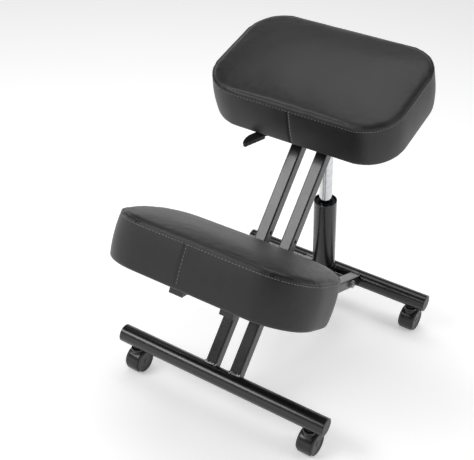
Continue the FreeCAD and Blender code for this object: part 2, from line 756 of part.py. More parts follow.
def make_lever():
    """Flat steel lever from over the valve pin to a grip beyond the seat's front edge."""
    half = lever_width / 2
    grip_frame = Placement(Vector(grip_tip_x, grip_tip_y, 0), Rotation(Z_AXIS, -grip_turn))
    bend = Vector(0, lever_bend_y, 0)
    elbow = grip_frame.multVec(Vector(-grip_width / 2, elbow_behind_tip, 0))
    tongue = grip_frame.multVec(Vector(-grip_width / 2, tongue_end, 0))
    arm = block(-half, half, lever_bend_y, lever_tail, lever_underside, lever_top)
    arm = arm.fuse(lever_strip(bend, elbow)).fuse(lever_strip(elbow, tongue))
    hub_half = lever_hub_width / 2
    hub = rod_x(lever_hub_diameter, -hub_half, hub_half, lever_pin_y, lever_pin_z)
    neck_half = lever_neck_width / 2
    neck = block(-half, half, lever_pin_y - neck_half, lever_pin_y + neck_half,
                 lever_pin_z, lever_underside)
    bore = rod_x(lever_pin_diameter + 2 * running_clearance, -hub_half, hub_half,
                 lever_pin_y, lever_pin_z)
    arm = arm.fuse(neck).fuse(hub).cut(bore).removeSplitter()
    nodes["release_lever"] = put(arm, seat_frame)

    grip = make_grip((lever_top + lever_underside - grip_thickness) / 2)
    nodes["lever_grip"] = put(put(grip, grip_frame).cut(arm), seat_frame)

    pin_end = ear_outer + lever_pin_proud
    pin = rod_x(lever_pin_diameter, -pin_end, pin_end, lever_pin_y, lever_pin_z)
    nodes["lever_pivot_pin"] = put(pin, seat_frame)


def make_knee_pad():
    underside = -knee_thickness
    flange_low = underside - bracket_thickness
    screw_x = arm_outer + bracket_flange / 2 + bracket_thickness / 2
    places = [(x, y) for x in (-screw_x, screw_x) for y in (knee_screw_front, knee_screw_back)]
    holes = screw_holes(places, flange_low, underside + screw_reach)
    base = board(knee_width, knee_depth, knee_corner, knee_thickness)
    nodes["knee_board"] = put(base.cut(holes), knee_frame)
    pad = cushion(knee_width, knee_depth, knee_corner, knee_thickness).cut(base)
    nodes["knee_cushion"] = put(pad, knee_frame)
    screws = [screw(x, y, flange_low, underside + screw_reach) for x, y in places]
    nodes["knee_screws"] = put(Part.makeCompound(screws), knee_frame)

    flange = block(arm_outer, arm_outer + bracket_flange, bracket_front, bracket_back,
                   flange_low, underside)
    lip_low = flange_low - bracket_lip
    fold = block(arm_outer, arm_outer + bracket_flange, bracket_front,
                 bracket_front + bracket_thickness, lip_low, flange_low)
    flange = put(flange.fuse(fold).cut(holes), knee_frame)

    def on_pad(y, z):
        point = knee_frame.multVec(Vector(0, y, z))
        return point.y, point.z

    def on_arm(distance, side):
        point = arm_frame.multVec(Vector(0, arm_setback + side * square_size / 2,
                                         arm_to_frame_pivot + distance))
        return point.y, point.z

    outline = (on_pad(bracket_front, underside), on_pad(gusset_back, underside),
               on_arm(gusset_above_pivot, 1), on_arm(-gusset_below_pivot, 1),
               on_arm(-gusset_below_pivot, -1), on_arm(gusset_front_above_pivot, -1),
               on_pad(bracket_front + bracket_lip_return, lip_low + bracket_lip_rise),
               on_pad(bracket_front, lip_low))
    gusset = plate_x(outline, arm_outer, bracket_outer)
    fixing = arm_frame.multVec(Vector(0, arm_setback, arm_to_frame_pivot + bracket_bolt_distance))
    bracket = flange.fuse(gusset)
    bracket = bracket.cut(rod_x(sleeve_diameter, 0, bar_outer, frame_pivot.y, frame_pivot.z))
    bracket = bracket.cut(rod_x(bracket_bolt_diameter, 0, bar_outer, fixing.y, fixing.z))
    nodes["knee_bracket_left"] = bracket.removeSplitter()
    nodes["knee_bracket_right"] = mirrored(nodes["knee_bracket_left"])

    nut_end = arm_inner - bracket_nut_height
    shank = rod_x(bracket_bolt_diameter, nut_end - bolt_tip_proud, bracket_outer,
                  fixing.y, fixing.z)
    head = hexagon_x(bracket_hex_across_corners, bracket_outer,
                     bracket_outer + bracket_head_height, fixing.y, fixing.z)
    bolt = shank.fuse(head).removeSplitter()
    nut = hexagon_x(bracket_hex_across_corners, nut_end, arm_inner, fixing.y, fixing.z).cut(shank)
    nodes["bracket_fasteners"] = Part.makeCompound([bolt, nut, mirrored(bolt), mirrored(nut)])


def wheel(y):
    """Hollow wheel, open towards the hood's web, with its axis along X."""
    radius = wheel_diameter / 2
    outer = caster_width / 2
    inner = outer - wheel_width
    bore = axle_diameter / 2 + running_clearance
    hub = axle_diameter / 2 + wheel_hub_wall
    rim = radius - wheel_wall
    bore_end = outer - axle_recess + axle_end_gap
    disc = outer - wheel_dish
    back = disc - wheel_disc_thickness
    profile = ((bore_end, 0), (outer - hub_dish, 0), (outer - hub_dish, hub), (disc, hub + hub_dish),
               (disc, rim - wheel_dish), (outer, rim),
               (outer, radius - wheel_edge), (outer - wheel_edge, radius),
               (inner + wheel_inner_edge, radius), (inner, radius - wheel_inner_edge),
               (inner, rim), (back, rim), (back, hub),
               (inner, hub), (inner, bore), (bore_end, bore))
    points = [Vector(x, y, radius + r) for x, r in profile]
    face = Part.Face(Part.makePolygon(points + points[:1]))
    return face.revolve(Vector(0, y, radius), X_AXIS, 360)


def hood():
    """Caster hood about its stem axis: web, shell over the wheels, and boss."""
    radius = wheel_diameter / 2
    inside = radius + hood_gap
    half_web = caster_width / 2 - wheel_width - web_gap
    angles = (hood_back_angle, hood_front_angle)
    shell = sector(inside, inside + hood_wall, *angles, -hood_width / 2, hood_width / 2,
                   caster_trail, radius)
    web = sector(0, inside + hood_wall / 2, *angles, -half_web, half_web, caster_trail, radius)
    web = web.fuse(rod_x(axle_boss_diameter, -half_web, half_web, caster_trail, radius))
    boss = rod_z(hood_boss_diameter, hood_boss_bottom, hood_boss_top)
    boss = boss.cut(rod_x(2 * inside, -caster_width, caster_width, caster_trail, radius))
    body = shell.fuse(web).fuse(boss)
    body = body.cut(rod_z(stem_flange_diameter + 2 * hood_recess_clearance,
                          hood_boss_top - hood_recess, caster_height))
    body = body.cut(rod_z(stem_lower_diameter + 2 * running_clearance,
                          stem_lower_bottom - side_clearance, caster_height))
    return body.cut(rod_x(axle_diameter, -caster_width, caster_width, caster_trail, radius))


def make_caster(place, x, y):
    """One caster: the hood and axle swivel, and each wheel spins by itself."""
    frame = Placement(Vector(x, y, 0), Rotation())
    nodes["caster_hood_" + place] = put(hood().removeSplitter(), frame)
    axle_end = caster_width / 2 - axle_recess
    axle = rod_x(axle_diameter, -axle_end, axle_end, caster_trail, wheel_diameter / 2)
    nodes["caster_axle_" + place] = put(axle, frame)
    one_wheel = wheel(caster_trail)
    nodes["caster_wheel_" + place + "_left"] = put(one_wheel, frame)
    nodes["caster_wheel_" + place + "_right"] = put(mirrored(one_wheel), frame)


def make_casters():
    front_x = front_crossbar_length / 2 - stem_inset
    rear_x = rear_crossbar_length / 2 - stem_inset
    make_caster("front_left", front_x, 0)
    make_caster("front_right", -front_x, 0)
    make_caster("rear_left", rear_x, crossbar_spacing)
    make_caster("rear_right", -rear_x, crossbar_spacing)


make_front_frame()
make_rear_frame()
make_gas_cylinder()
make_pressure_tube()
make_seat()
make_lever()
make_knee_pad()
make_casters()

box = Part.makeCompound(list(nodes.values())).optimalBoundingBox()
centre = Vector(0, -(box.YMin + box.YMax) / 2, 0)
os.makedirs("parts", exist_ok=True)
for name, shape in nodes.items():
    moved = shape.copy()
    moved.translate(centre)
    moved.exportStep("parts/" + name + ".step")

print("nodes", len(nodes), "shift along Y", round(centre.y, 3))
print("box", [round(v, 2) for v in (box.XMin, box.XMax, box.YMin + centre.y, box.YMax + centre.y,
                                    box.ZMin, box.ZMax)])
for label, point in (("frame_pivot", frame_pivot), ("seat_pivot", seat_pivot),
                     ("cylinder_pivot", cylinder_pivot),
                     ("lever_pivot", seat_frame.multVec(Vector(0, lever_pin_y, lever_pin_z)))):
    print(label, round(point.y + centre.y, 3), round(point.z, 3))
print("cylinder axis", [round(v, 5) for v in cylinder_frame.Rotation.multVec(Z_AXIS)])
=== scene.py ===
# %% [markdown]
# # A kneeling chair, dressed
#
# The chair's rigid parts come from an engineering model, which already has the right
# sizes and places. This lesson adds what that model lacks: cushions that look stuffed
# and sewn, moulded casters, weld beads, and a finish for every surface. Everything is
# in metres. The sitter faces -Y, and the floor is Z = 0.

# %% Load the model
import bpy
import bmesh
import json
import math
from mathutils import Matrix, Vector, noise
from mathutils.bvhtree import BVHTree


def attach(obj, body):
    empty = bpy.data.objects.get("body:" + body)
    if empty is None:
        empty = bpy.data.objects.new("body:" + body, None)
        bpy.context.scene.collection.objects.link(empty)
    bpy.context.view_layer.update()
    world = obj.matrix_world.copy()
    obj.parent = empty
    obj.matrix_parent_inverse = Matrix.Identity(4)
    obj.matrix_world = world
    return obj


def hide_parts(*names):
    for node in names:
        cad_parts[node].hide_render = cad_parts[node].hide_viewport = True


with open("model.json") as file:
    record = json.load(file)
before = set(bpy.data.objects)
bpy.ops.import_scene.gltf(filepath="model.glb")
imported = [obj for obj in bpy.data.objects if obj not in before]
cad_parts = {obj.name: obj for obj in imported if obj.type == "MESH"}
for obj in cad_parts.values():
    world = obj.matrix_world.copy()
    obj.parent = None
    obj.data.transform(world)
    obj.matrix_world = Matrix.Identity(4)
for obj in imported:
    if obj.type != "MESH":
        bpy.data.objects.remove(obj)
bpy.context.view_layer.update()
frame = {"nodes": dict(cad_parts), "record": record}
nodes = frame["nodes"]
MM = 0.001

# %% [markdown]
# ## The camera
#
# A photograph fixes where its camera stood. Here that place was found by matching the
# known sizes of the tubes and the cushions. The camera looks down by about 32 degrees,
# stands to the sitter's left front, and is rolled by 3 degrees.

# %% Place the camera
CAMERA_PLACE = (0.7801, -1.4173, 1.3331)
FOCAL_PIXELS = 950.275
PICTURE_WIDTH = 474
SENSOR_WIDTH = 36.0
azimuth = math.radians(31.755)
elevation = math.radians(31.89)
roll = math.radians(3.0)
right = Vector((math.cos(azimuth), math.sin(azimuth), 0))
ahead = Vector((-math.sin(azimuth) * math.cos(elevation),
                math.cos(azimuth) * math.cos(elevation), -math.sin(elevation)))
up = right.cross(ahead)
rolled_right = right * math.cos(roll) + up * math.sin(roll)
rolled_up = up * math.cos(roll) - right * math.sin(roll)
camera_data = bpy.data.cameras.new("camera")
camera_data.sensor_fit = "HORIZONTAL"
camera_data.sensor_width = SENSOR_WIDTH
camera_data.lens = FOCAL_PIXELS / PICTURE_WIDTH * SENSOR_WIDTH
camera = bpy.data.objects.new("camera", camera_data)
turned = Matrix((rolled_right, rolled_up, -ahead)).transposed().to_4x4()
camera.matrix_world = Matrix.Translation(CAMERA_PLACE) @ turned
bpy.context.scene.collection.objects.link(camera)
bpy.context.scene.camera = camera
print("lens", round(camera_data.lens, 2), "mm")


# %% [markdown]
# ## Colours and nodes
#
# Colours are written as they look on a screen, and one function turns them into the
# linear numbers that a renderer needs. A second one adds a shader node, sets its
# inputs and links them, so that each finish below reads as a short recipe. No real
# surface has one even tone, so a third lets a pattern vary both colour and roughness.

# %% Helpers for finishes
def screen_colour(text):
    """Linear colour from an sRGB hex value."""
    channels = []
    for k in (0, 2, 4):
        value = int(text[k:k + 2], 16) / 255
        channels.append(value / 12.92 if value <= 0.04045 else ((value + 0.055) / 1.055) ** 2.4)
    return (*channels, 1.0)


def add_node(tree, kind, settings=None, **inputs):
    """One shader node with its settings. Inputs go by name, or by number as i0 or i1."""
    node = tree.nodes.new(kind)
    for key, value in (settings or {}).items():
        setattr(node, key, value)
    for key, value in inputs.items():
        socket = node.inputs[int(key[1:]) if key[1:].isdigit() else key.replace("_", " ")]
        if isinstance(value, bpy.types.NodeSocket):
            tree.links.new(value, socket)
        else:
            socket.default_value = value
    return node


def new_finish(name):
    """An empty material, with its tree, shader and object coordinates in metres."""
    finish = bpy.data.materials.new(name)
    finish.use_nodes = True
    tree = finish.node_tree
    shader = tree.nodes["Principled BSDF"]
    place = tree.nodes.new("ShaderNodeTexCoord").outputs["Object"]
    print("finish:", name)
    return finish, tree, shader, place


def vary(tree, shader, pattern, dark, light, smooth, rough):
    """Base colour and roughness that both follow one pattern between 0 and 1."""
    ramp = add_node(tree, "ShaderNodeValToRGB", i0=pattern)
    dark_stop, light_stop = ramp.color_ramp.elements
    dark_stop.position, light_stop.position = 0.35, 0.65
    dark_stop.color, light_stop.color = screen_colour(dark), screen_colour(light)
    sheen = add_node(tree, "ShaderNodeMapRange", Value=pattern, To_Min=smooth, To_Max=rough)
    tree.links.new(ramp.outputs["Color"], shader.inputs["Base Color"])
    tree.links.new(sheen.outputs[0], shader.inputs["Roughness"])


# %% [markdown]
# ## Leatherette
#
# The covers are polyurethane leather: a knitted cloth with a coat of soft plastic that
# is embossed with a fine grain and pressed to a satin sheen. The real grain is about
# 1 mm across. It is drawn a little coarser here, because finer cells would vanish at
# this distance. A slow swell under it stands for foam that is never quite even. A
# picture of leather would do as well, but a pattern needs no file and never repeats.

# %% Make the leatherette
def make_leatherette():
    finish, tree, shader, place = new_finish("pu_leatherette_black")
    grain = add_node(tree, "ShaderNodeTexVoronoi", {"feature": "DISTANCE_TO_EDGE"},
                     Vector=place, Scale=1 / (1.7 * MM))
    swell = add_node(tree, "ShaderNodeTexNoise", Vector=place, Scale=1 / (55 * MM), Detail=2.0)
    mottle = add_node(tree, "ShaderNodeTexNoise", Vector=place, Scale=1 / (14 * MM), Detail=4.0)
    vary(tree, shader, mottle.outputs["Fac"], "161617", "1c1c1d", 0.4, 0.5)
    slow = add_node(tree, "ShaderNodeBump", Height=swell.outputs["Fac"], Distance=1.2 * MM,
                    Strength=0.5)
    fine = add_node(tree, "ShaderNodeBump", Height=grain.outputs["Distance"],
                    Distance=0.12 * MM, Strength=0.5, Normal=slow.outputs["Normal"])
    tree.links.new(fine.outputs["Normal"], shader.inputs["Normal"])
    return finish


leatherette = make_leatherette()

# %% [markdown]
# ## Sewing thread
#
# Bonded polyester thread, a shade lighter than the cover, so that a row of stitches
# reads as a fine pale line. The thread's two plies are slanting ridges, and its colour
# is painted light along them: lighter on each ridge as painted highlight, darker between
# the plies as painted shade. Diagonal waves repeat every 0.36 of their scale, so 2.4 mm
# here sets the ridges 0.9 mm apart.

# %% Make the thread
def make_thread():
    finish, tree, shader, place = new_finish("polyester_thread_grey")
    plies_and_painted_shade = add_node(tree, "ShaderNodeTexWave", {"bands_direction": "DIAGONAL"},
                     Vector=place, Scale=1 / (2.4 * MM))
    # Painted shade and painted highlight: each ply's ridge is lighter and the groove between the
    # plies darker.
    vary(tree, shader, plies_and_painted_shade.outputs["Fac"], "7c7c7d", "9c9c9d", 0.6, 0.6)
    ridge = add_node(tree, "ShaderNodeBump", Height=plies_and_painted_shade.outputs["Fac"], Distance=0.1 * MM)
    tree.links.new(ridge.outputs["Normal"], shader.inputs["Normal"])
    return finish


thread = make_thread()

# %% [markdown]
# ## Powder coat
#
# The steel tubes and brackets are powder coated: dry paint is baked on until it flows.
# That leaves a deep black gloss with a faint orange peel, ripples of one to two
# millimetres that make reflections waver. They never change an outline, so a bump in the
# shader is enough and the mesh stays light.

# %% Make the powder coat
def make_powder_coat():
    finish, tree, shader, place = new_finish("powder_coat_gloss_black")
    peel = add_node(tree, "ShaderNodeTexNoise", Vector=place, Scale=1 / (2.2 * MM), Detail=2.0)
    rub = add_node(tree, "ShaderNodeTexNoise", Vector=place, Scale=1 / (30 * MM), Detail=5.0)
    vary(tree, shader, rub.outputs["Fac"], "0a0a0b", "101011", 0.24, 0.32)
    shader.inputs["Coat Weight"].default_value = 0.3
    shader.inputs["Coat Roughness"].default_value = 0.16
    ripple = add_node(tree, "ShaderNodeBump", Height=peel.outputs["Fac"], Distance=0.02 * MM,
                      Strength=0.5)
    tree.links.new(ripple.outputs["Normal"], shader.inputs["Normal"])
    return finish


powder_coat = make_powder_coat()

# %% [markdown]
# ## Chrome, zinc and weld metal
#
# Three bare metals. The lift's tube is hard chrome, ground and polished, so it mirrors
# the room with only a few smears. Bolts, nuts and pins are zinc plated: a grey, dull
# shine with faint cloudy patches. A weld bead is a row of small frozen waves. Real ones
# are about 1.5 mm apart, and they are drawn 2.8 mm apart so that they show. The bead's
# colour is painted light: near black in each trough as painted shade, and near white on
# each crest as painted highlight. Otherwise what tells the three apart is mostly how
# rough they are, so one pattern sets tone and roughness.

# %% Make the metals
def make_chrome():
    finish, tree, shader, place = new_finish("hard_chrome_polished")
    smear = add_node(tree, "ShaderNodeTexNoise", Vector=place, Scale=1 / (9 * MM), Detail=3.0)
    vary(tree, shader, smear.outputs["Fac"], "c9cbce", "d6d8da", 0.05, 0.12)
    shader.inputs["Metallic"].default_value = 1.0
    return finish


def make_zinc():
    finish, tree, shader, place = new_finish("steel_zinc_plated")
    cloud = add_node(tree, "ShaderNodeTexNoise", Vector=place, Scale=1 / (3 * MM), Detail=3.0)
    vary(tree, shader, cloud.outputs["Fac"], "8d8e8b", "a9aaa6", 0.28, 0.45)
    shader.inputs["Metallic"].default_value = 1.0
    scuff = add_node(tree, "ShaderNodeBump", Height=cloud.outputs["Fac"], Distance=0.05 * MM,
                     Strength=0.4)
    tree.links.new(scuff.outputs["Normal"], shader.inputs["Normal"])
    return finish


def make_weld_metal():
    finish, tree, shader, place = new_finish("weld_metal_painted_ripple_light")
    ripples_and_painted_light = add_node(tree, "ShaderNodeTexWave", {"bands_direction": "X"}, Vector=place,
                    Scale=1 / (9 * MM), Distortion=3.0, Detail=3.0)
    # Painted shade and painted highlight: the ripples run from near black in each trough to near
    # white on each crest.
    vary(tree, shader, ripples_and_painted_light.outputs["Fac"], "3c3a38", "d8d7d4", 0.3, 0.3)
    shader.inputs["Metallic"].default_value = 1.0
    ripple = add_node(tree, "ShaderNodeBump", Height=ripples_and_painted_light.outputs["Fac"], Distance=0.5 * MM)
    tree.links.new(ripple.outputs["Normal"], shader.inputs["Normal"])
    return finish


chrome = make_chrome()
zinc = make_zinc()
weld_metal = make_weld_metal()

# %% [markdown]
# ## Plastics, rubber and plywood
#
# The caster hoods are moulded nylon with a polished skin. The wheels, plugs and the
# lever's grip are moulded too, but from a tool with a fine spark-eroded grain, which
# leaves them satin. The grain is drawn at about 1 mm, far coarser than it is, or it
# would not show. The cushions' boards are beech plywood stained dark, with fibres drawn
# out twelve times along the board, and the bumper inside the lift is rubber. The
# plastics differ only in numbers, so one function makes them all.

# %% Make the plastics, the rubber and the plywood
def make_plastic(name, dark, light, smooth, rough, grain_size, grain_depth):
    """Moulded plastic: its tool's grain sets how the light spreads."""
    finish, tree, shader, place = new_finish(name)
    grain = add_node(tree, "ShaderNodeTexNoise", Vector=place, Scale=1 / grain_size, Detail=2.0)
    flow = add_node(tree, "ShaderNodeTexNoise", Vector=place, Scale=1 / (18 * MM), Detail=3.0)
    vary(tree, shader, flow.outputs["Fac"], dark, light, smooth, rough)
    bump = add_node(tree, "ShaderNodeBump", Height=grain.outputs["Fac"], Distance=grain_depth,
                    Strength=0.5)
    tree.links.new(bump.outputs["Normal"], shader.inputs["Normal"])
    return finish


def make_plywood():
    finish, tree, shader, place = new_finish("beech_plywood_stained")
    along = add_node(tree, "ShaderNodeMapping", Vector=place, Scale=(1.0, 12.0, 12.0))
    fibre = add_node(tree, "ShaderNodeTexNoise", Vector=along.outputs[0], Scale=1 / (60 * MM),
                     Detail=6.0)
    vary(tree, shader, fibre.outputs["Fac"], "29231f", "3a312a", 0.6, 0.75)
    pore = add_node(tree, "ShaderNodeBump", Height=fibre.outputs["Fac"], Distance=0.2 * MM)
    tree.links.new(pore.outputs["Normal"], shader.inputs["Normal"])
    return finish


satin_plastic = make_plastic("pp_satin_black", "151516", "1b1b1c", 0.38, 0.5, 0.9 * MM, 0.05 * MM)
hood_plastic = make_plastic("nylon_gloss_black", "161617", "1e1e20", 0.2, 0.3, 6 * MM, 0.08 * MM)
wheel_plastic = make_plastic("nylon_satin_grey", "202021", "2a2a2b", 0.34, 0.46, 1.2 * MM,
                             0.06 * MM)
tread_plastic = make_plastic("polyurethane_tread_grey", "343435", "404041", 0.4, 0.55,
                             1.5 * MM, 0.08 * MM)
bumper_rubber = make_plastic("bumper_rubber", "111111", "1a1a1a", 0.7, 0.85, 1.0 * MM, 0.08 * MM)
plywood = make_plywood()
print("made", len(bpy.data.materials), "finishes")

# %% [markdown]
# ## Give the model's own pieces their finishes
#
# The record says which finish each piece has. The tubes, brackets and bolts keep their
# shape from the model, so they only need the right material.

# %% Dress the model's pieces
finish_of_slot = {
    "frame_paint": powder_coat, "weld_steel": weld_metal, "zinc_steel": zinc, "chrome": chrome,
    "black_plastic": satin_plastic, "buffer_rubber": bumper_rubber, "plywood": plywood,
    "seat_cover": leatherette, "hood_plastic": hood_plastic, "wheel_plastic": wheel_plastic,
}
slot_of_node = {entry["node"]: entry["material_slot"] for entry in frame["record"]["subparts"]}
for name, node in nodes.items():
    node.data.materials.clear()
    node.data.materials.append(finish_of_slot[slot_of_node[name]])
print("dressed", len(nodes), "pieces of the model")


# %% [markdown]
# ## Pieces from bmesh
#
# Every new piece is built as a bmesh, turned into an object at the origin, and told
# which body of the chair it moves with.

# %% A helper that finishes a piece
def new_piece(name, bm, finish, body, stands_for=(), smooth_below=35):
    """An object from a bmesh, with its finish, its body and the nodes that it replaces."""
    mesh = bpy.data.meshes.new(name)
    bm.to_mesh(mesh)
    bm.free()
    mesh.materials.append(finish)
    piece = bpy.data.objects.new(name, mesh)
    bpy.context.scene.collection.objects.link(piece)
    mesh.shade_smooth()
    mesh.set_sharp_from_angle(angle=math.radians(smooth_below))
    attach(piece, body)
    if stands_for:
        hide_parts(*stands_for)
    return piece


def tidy(bm):
    """Doubles merged and faces pointing outwards."""
    bmesh.ops.remove_doubles(bm, verts=bm.verts, dist=0.01 * MM)
    bmesh.ops.recalc_face_normals(bm, faces=bm.faces)


def evaluated(obj):
    """The mesh of an object with its modifiers applied."""
    depsgraph = bpy.context.evaluated_depsgraph_get()
    return bpy.data.meshes.new_from_object(obj.evaluated_get(depsgraph), depsgraph=depsgraph)


# %% [markdown]
# ## The cushions
#
# Each cushion is a block of foam in a sewn cover: a top panel, and a band round the
# sides, joined by a seam that runs all round the upper edge. The cover is a little
# small for the foam, so between its seams it bulges, and at a seam it is pulled in. That
# could be sculpted by hand, but cloth simulation gives it from the same causes as on the
# real chair: a slightly small form is blown up from inside, while the points on the seam
# and on the board are held. A cap keeps it from swelling too far.

# %% Sizes of the cushions
class Cushion:
    """Sizes in millimetres, the side seam's x, and the place of the top seam's middle."""

    def __init__(self, name, body, width, depth, corner, trough, side_seam, y, z, tilt):
        self.name = name
        self.body = body
        self.width = width * MM
        self.depth = depth * MM
        self.corner = corner * MM
        self.thickness = 90 * MM
        self.trough = trough * MM
        self.side_seam = side_seam * MM
        self.frame = (Matrix.Translation((0, y * MM, z * MM))
                      @ Matrix.Rotation(math.radians(tilt), 4, "X"))
        print(name, "cushion:", width, "by", depth, "mm, tilted by", tilt, "degrees")


seat = Cushion("seat", "seat", width=412, depth=265, corner=80, trough=0.6, side_seam=0,
               y=117.786, z=639.7, tilt=18.6)
knee = Cushion("knee", "front_frame", width=433, depth=236, corner=97, trough=9.0,
               side_seam=-22, y=-180.817, z=394.7, tilt=-25.1)


# %% [markdown]
# A cushion starts as a cube scaled to its size. Bevels round its four upright edges and
# its foot, and cuts across the wall give it points that can bulge. A smooth cage with
# few points would look alike, but bevels keep the radius of the corners exact. The block
# is made a little too small, because the pressure will swell it.

# %% Start shape of a cushion
BULGE = 5.5 * MM
START_BULGE = 0.6
FOOT_ROUND = 5 * MM
WALL_FOOT, WALL_TOP = 0.02, 0.99


def upright_edges(bm, shortest):
    """The edges that run up and down the wall."""
    return [e for e in bm.edges if abs(e.verts[0].co.z - e.verts[1].co.z) > shortest]


def start_shape(c, shrink):
    """A rounded block whose wall bulges a little. Its top is still flat."""
    bm = bmesh.new()
    bmesh.ops.create_cube(bm, size=1.0)
    size = (c.width - 2 * shrink, c.depth - 2 * shrink, c.thickness)
    bmesh.ops.scale(bm, vec=size, verts=bm.verts)
    bmesh.ops.translate(bm, vec=(0, 0, -size[2] / 2), verts=bm.verts)
    bmesh.ops.bevel(bm, geom=upright_edges(bm, c.thickness / 2), offset=c.corner - shrink,
                    segments=12, profile=0.5, affect="EDGES", material=-1)
    foot = [e for e in bm.edges if max(v.co.z for v in e.verts) < -c.thickness + MM]
    bmesh.ops.bevel(bm, geom=foot, offset=FOOT_ROUND, segments=3, profile=0.5,
                    affect="EDGES", material=-1)
    bmesh.ops.subdivide_edges(bm, edges=upright_edges(bm, c.thickness / 2), cuts=9,
                              use_grid_fill=True)
    for v in bm.verts:
        up = 1 + v.co.z / c.thickness
        if WALL_FOOT < up < WALL_TOP:
            flat = Vector((v.co.x, v.co.y, 0)).normalized()
            v.co += flat * BULGE * START_BULGE * math.sin(math.pi * up)
    tidy(bm)
    return bm


# %% [markdown]
# A stuffed top isn't flat. It rises quickly in a narrow roll beside the seam, goes on as
# a slope about as wide as the corners are round, and ends in a slow dome. Cloth needs
# even quads, so the block is remeshed before the top is raised.

# %% Even quads and a crowned top
ROLL = 4 * MM
ROLL_WIDTH = 16 * MM
SLOPE = 9 * MM
DOME = 6 * MM
TOP_LAYER = 1.5 * MM


def distance_to_edge(c, co, shrink):
    """How far a point lies inside the rounded outline of the cushion."""
    radius = c.corner - shrink
    across = Vector((abs(co.x) - c.width / 2 + shrink + radius,
                     abs(co.y) - c.depth / 2 + shrink + radius))
    outside = Vector((max(across.x, 0), max(across.y, 0))).length
    return radius - outside - min(max(across.x, across.y), 0)


def crown_top(block, c, shrink):
    """The flat top raised: by a narrow roll at the seam, a slope, and a slow dome."""
    for v in block.data.vertices:
        if v.co.z > -TOP_LAYER:
            inside = max(distance_to_edge(c, v.co, shrink), 0)
            roll = 1 - min(inside / ROLL_WIDTH, 1)
            slope = 1 - min(inside / (c.corner - shrink), 1)
            across = 2 * v.co.x / c.width
            along = 2 * v.co.y / c.depth
            v.co.z += ROLL * math.sqrt(1 - roll * roll) + (SLOPE - shrink) * (1 - slope * slope)
            v.co.z += DOME * max(1 - across * across, 0) * max(1 - along * along, 0)
    return block


def remeshed(name, bm, voxel):
    """Even quads all over a closed form."""
    mesh = bpy.data.meshes.new(name)
    bm.to_mesh(mesh)
    bm.free()
    block = bpy.data.objects.new(name, mesh)
    bpy.context.scene.collection.objects.link(block)
    remesh = block.modifiers.new("even_quads", "REMESH")
    remesh.mode = "VOXEL"
    remesh.voxel_size = voxel
    block.data = evaluated(block)
    block.modifiers.clear()
    return block


# %% [markdown]
# The held points are the ones within a few millimetres of the seam's plane, those on
# the underside, and those along the short upright seam in the middle of the front and
# the back. Everything else is free to swell.

# %% Blow up a cushion
PRESSURE = 4.0
SWELL_CAP = 8 * MM
STEPS = 20
HELD_FOOT = 8 * MM
RIM_SEAM_Z = -1 * MM
RIM_SEAM_HALF = 2.6 * MM
SIDE_SEAM_HALF = 2.4 * MM
WALL_ZONE = 20 * MM


def on_underside(c, co):
    return co.z < -c.thickness + HELD_FOOT


def on_rim_seam(co):
    return abs(co.z - RIM_SEAM_Z) < RIM_SEAM_HALF


def on_front_or_back(c, co):
    return abs(co.y) > c.depth / 2 - WALL_ZONE


def on_side_seam(c, co):
    return abs(co.x - c.side_seam) < SIDE_SEAM_HALF and co.z < 0 and on_front_or_back(c, co)


def blow_up(block, c):
    """Cloth with pressure inside, run for a few steps and then fixed into the mesh."""
    held = block.vertex_groups.new(name="held")
    start = [v.co.copy() for v in block.data.vertices]
    picked = [k for k, co in enumerate(start)
              if on_underside(c, co) or on_rim_seam(co) or on_side_seam(c, co)]
    held.add(picked, 1.0, "REPLACE")
    cloth = block.modifiers.new("cover", "CLOTH")
    cloth.settings.quality = 6
    cloth.settings.mass = 0.4
    cloth.settings.tension_stiffness = 12
    cloth.settings.compression_stiffness = 12
    cloth.settings.shear_stiffness = 4
    cloth.settings.bending_stiffness = 1.5
    cloth.settings.use_pressure = True
    cloth.settings.uniform_pressure_force = PRESSURE
    cloth.settings.vertex_group_mass = "held"
    cloth.settings.effector_weights.gravity = 0
    cloth.collision_settings.use_collision = False
    cloth.collision_settings.use_self_collision = False
    cloth.point_cache.frame_start = 1
    cloth.point_cache.frame_end = STEPS
    scene = bpy.context.scene
    for step in range(1, STEPS + 1):
        scene.frame_set(step)
    swollen = evaluated(block)
    scene.frame_set(1)
    block.modifiers.clear()
    moved = 0.0
    for k, v in enumerate(swollen.vertices):
        shift = v.co - start[k]
        moved = max(moved, shift.length)
        if shift.length > SWELL_CAP:
            v.co = start[k] + shift * (SWELL_CAP / shift.length)
    block.data = swollen
    print(c.name, "swelled by up to", round(moved / MM, 1), "mm before the cap")
    return block


# %% [markdown]
# The top of the swollen form is smoothed, as a taut cover would be, and one subdivision
# makes the mesh fine enough for small sewing details. The seam becomes a narrow groove
# just above the folded edge of the band, and the cover puckers slightly beside it, as
# sewn leatherette does. Just inside the seam the top also sinks, which shows most on
# the knee pad. These details move points along their normals, because they are too fine
# for the cloth.

# %% Fine shape of a cushion
TAUT_FADE = 20 * MM
TAUT_START = 0.3
GROOVE_Z = 1.8 * MM
GROOVE_WIDTH = 2.0 * MM
GROOVE_DEPTH = 2.0 * MM
TROUGH_WIDTH = 6 * MM
PUCKER_Z = 6 * MM
PUCKER_SPREAD = 9 * MM
PUCKER_LENGTH = 11 * MM
PUCKER_DEPTH = 0.35 * MM
PUCKER_STRETCH = 0.3
UNEVEN_LENGTH = 48 * MM
UNEVEN_DEPTH = 0.5 * MM
SIDE_GROOVE_WIDTH = 1.9 * MM
SIDE_GROOVE_DEPTH = 1.3 * MM
SIDE_GROOVE_TOP = 4 * MM


